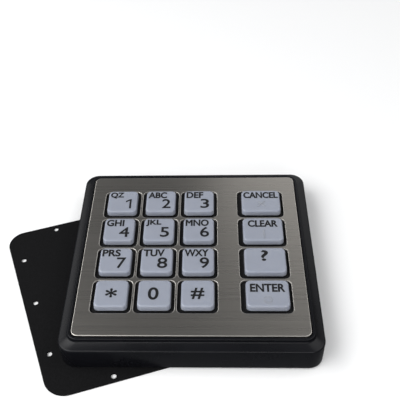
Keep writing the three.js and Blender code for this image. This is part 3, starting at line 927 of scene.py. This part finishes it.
def flush_fastener(node):
    """A pressed-in standoff: a ring, a groove, and a blind hole in the middle of its end."""
    low, high = box_mm(node)
    radius = (high.x - low.x) / 2
    shank = radius - 0.4
    shank_part = [(0, high.z), (shank - 0.2, high.z), (shank, high.z - 0.2), (shank, PLATE_HIGH.z)]
    ring = [(radius, PLATE_HIGH.z), (radius, low.z + 0.15), (radius - 0.15, low.z), (radius - 0.5, low.z)]
    groove = [(radius - 0.6, low.z + 0.3), (radius - 0.8, low.z + 0.3), (radius - 0.9, low.z + 0.05)]
    hole = [(1.0, low.z + 0.05), (0.9, low.z + 0.2), (0.9, low.z + 0.9), (0, low.z + 1.0)]
    vertices, faces = lathe(shank_part + ring + groove + hole, centre_of(node), 40)
    finish_piece(f"pressed_{node}", mesh_from(node, vertices, faces), STANDOFF_STEEL,
                 "panel", [node])


def rear_fasteners():
    for corner in STUD_CORNERS:
        stud(corner)
        washer(corner)
        nut(corner)
    for node in FLUSH_FASTENERS:
        flush_fastener(node)


# ---- Header ----

PIN_COUNT = 13
PIN_PITCH = 2.54
PIN_SIZE = 0.64
HEADER_BODY_DEPTH = 2.6
# The first pin of each friction lock, counted from 0, and how many pins a lock is wide.
LOCK_STARTS = (2, 7)
LOCK_PINS = 3


def square(size, centre):
    half = size / 2
    return [(centre[0] + half, centre[1] + half), (centre[0] - half, centre[1] + half),
            (centre[0] - half, centre[1] - half), (centre[0] + half, centre[1] - half)]


def extruded_along_x(section, x_start, x_end):
    """section is a closed list of (y, z)."""
    vertices = [(x_start, y, z) for y, z in section] + [(x_end, y, z) for y, z in section]
    count = len(section)
    faces = [tuple(reversed(range(count))), tuple(range(count, 2 * count))]
    for here in range(count):
        after = (here + 1) % count
        faces.append((here, after, count + after, count + here))
    return vertices, faces


def header_shroud(pins):
    """The black block that the pins stand in, with a square hole round each of them."""
    low, high = box_mm("header_body")
    centre = centre_of("header_body")
    holes = [lambda grow, pin=pin: square(PIN_SIZE + 0.1 + 2 * grow, pin) for pin in pins]
    width, depth = PIN_COUNT * PIN_PITCH, high.y - low.y
    vertices, faces = cut_sheet(
        lambda grow: rounded_rect(width + 2 * grow, depth + 2 * grow, 0.4 + grow, 3, centre),
        holes, high.z - HEADER_BODY_DEPTH, high.z, 0.15)
    finish_piece("header_shroud", mesh_from("header_shroud", vertices, faces), HEADER_PLASTIC,
                 "panel", ["header_body"])


def header_lock(number, x_start, x_end):
    """A friction lock: a thin wall with a ramped hook at its tip."""
    low, high = box_mm("header_body")
    foot = high.z - HEADER_BODY_DEPTH + 0.1
    outer, tip = low.y, low.z
    section = [(outer, foot), (outer, tip + 0.3), (outer + 0.3, tip), (outer + 0.8, tip),
               (outer + 1.2, tip + 0.9), (outer + 0.9, tip + 1.4), (outer + 0.9, foot)]
    vertices, faces = extruded_along_x(section, x_start, x_end)
    finish_piece(f"header_lock_{number}", mesh_from("header_lock", vertices, faces),
                 HEADER_PLASTIC, "panel")


def header_pin(node, pin):
    """A square pin with a tapered tip."""
    low, high = box_mm(node)
    rings = [(square(PIN_SIZE * 0.45, pin), low.z), (square(PIN_SIZE - 0.04, pin), low.z + 0.6),
             (square(PIN_SIZE, pin), low.z + 0.75), (square(PIN_SIZE, pin), high.z)]
    vertices, faces = loft(rings)
    finish_piece(f"gilt_{node}", mesh_from(node, vertices, faces), PIN_GOLD,
                 "panel", [node])


def header():
    pin_nodes = [f"header_pin_{index + 1}" for index in range(PIN_COUNT)]
    pins = [centre_of(node) for node in pin_nodes]
    header_shroud(pins)
    for number, start in enumerate(LOCK_STARTS, 1):
        x_start = pins[start][0] - PIN_PITCH / 2
        x_end = pins[start + LOCK_PINS - 1][0] + PIN_PITCH / 2
        header_lock(number, x_start, x_end)
    for node, pin in zip(pin_nodes, pins):
        header_pin(node, pin)


# ---- Labels ----

# The label beside the header has every second line in red.
RED_PRINT_LABEL = 1


def label_print(name, bars, z, material):
    """Flat printed bars, each (x, y, width, height), on a label seen from below."""
    ink = 0.02
    boxes = []
    for x, y, width, height in bars:
        outline = [(x + width, y + height), (x, y + height), (x, y), (x + width, y)]
        boxes.append(loft([(outline, z - ink), (outline, z + ink)]))
    vertices, faces = gather(boxes)
    finish_piece(name, mesh_from(name, vertices, faces), material, "panel")


def label(number):
    """A paper label with generic lines of print running up it, the first line bolder."""
    node = f"label_{number}"
    low, high = box_mm(node)
    width, height = high.x - low.x, high.y - low.y
    vertices, faces = cut_sheet(
        lambda grow: rounded_rect(width + 2 * grow, height + 2 * grow, 0.6 + grow, 5, centre_of(node)),
        [], low.z, high.z, 0.03)
    finish_piece(f"paper_{node}", mesh_from(node, vertices, faces), LABEL_PAPER,
                 "panel", [node])
    draw = random.Random(number)
    side_margin, end_margin = 1.6, 2.0
    bold_line, thin_line = 1.5, 0.9
    lines = 4
    for line in range(lines):
        x = low.x + side_margin + line * (width - 2 * side_margin) / lines
        y = low.y + end_margin
        end = high.y - end_margin - draw.uniform(0, 7)
        bars = []
        while y < end:
            length = draw.uniform(0.5, 1.5)
            bars.append((x, y, thin_line if line else bold_line, min(length, end - y)))
            y += length + draw.uniform(0.25, 0.5)
        ink = LABEL_RED if number == RED_PRINT_LABEL and line % 2 else LEGEND_INK
        label_print(f"label_{number}_line_{line + 1}", bars, low.z, ink)


# ---- CAD nodes that are shown as they are ----

def dress(node, material):
    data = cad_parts[node].data
    data.materials.clear()
    data.materials.append(material)


bezel()
fascia()
keys()
gasket()
back_plate()
rear_fasteners()
header()
label(1)
label(2)
dress("fascia_seal", SEAL_FOAM)
dress("key_mat", MAT_SILICONE)
dress("circuit_board", CIRCUIT_BOARD)
dress("insulating_sheet", INSULATOR_FILM)
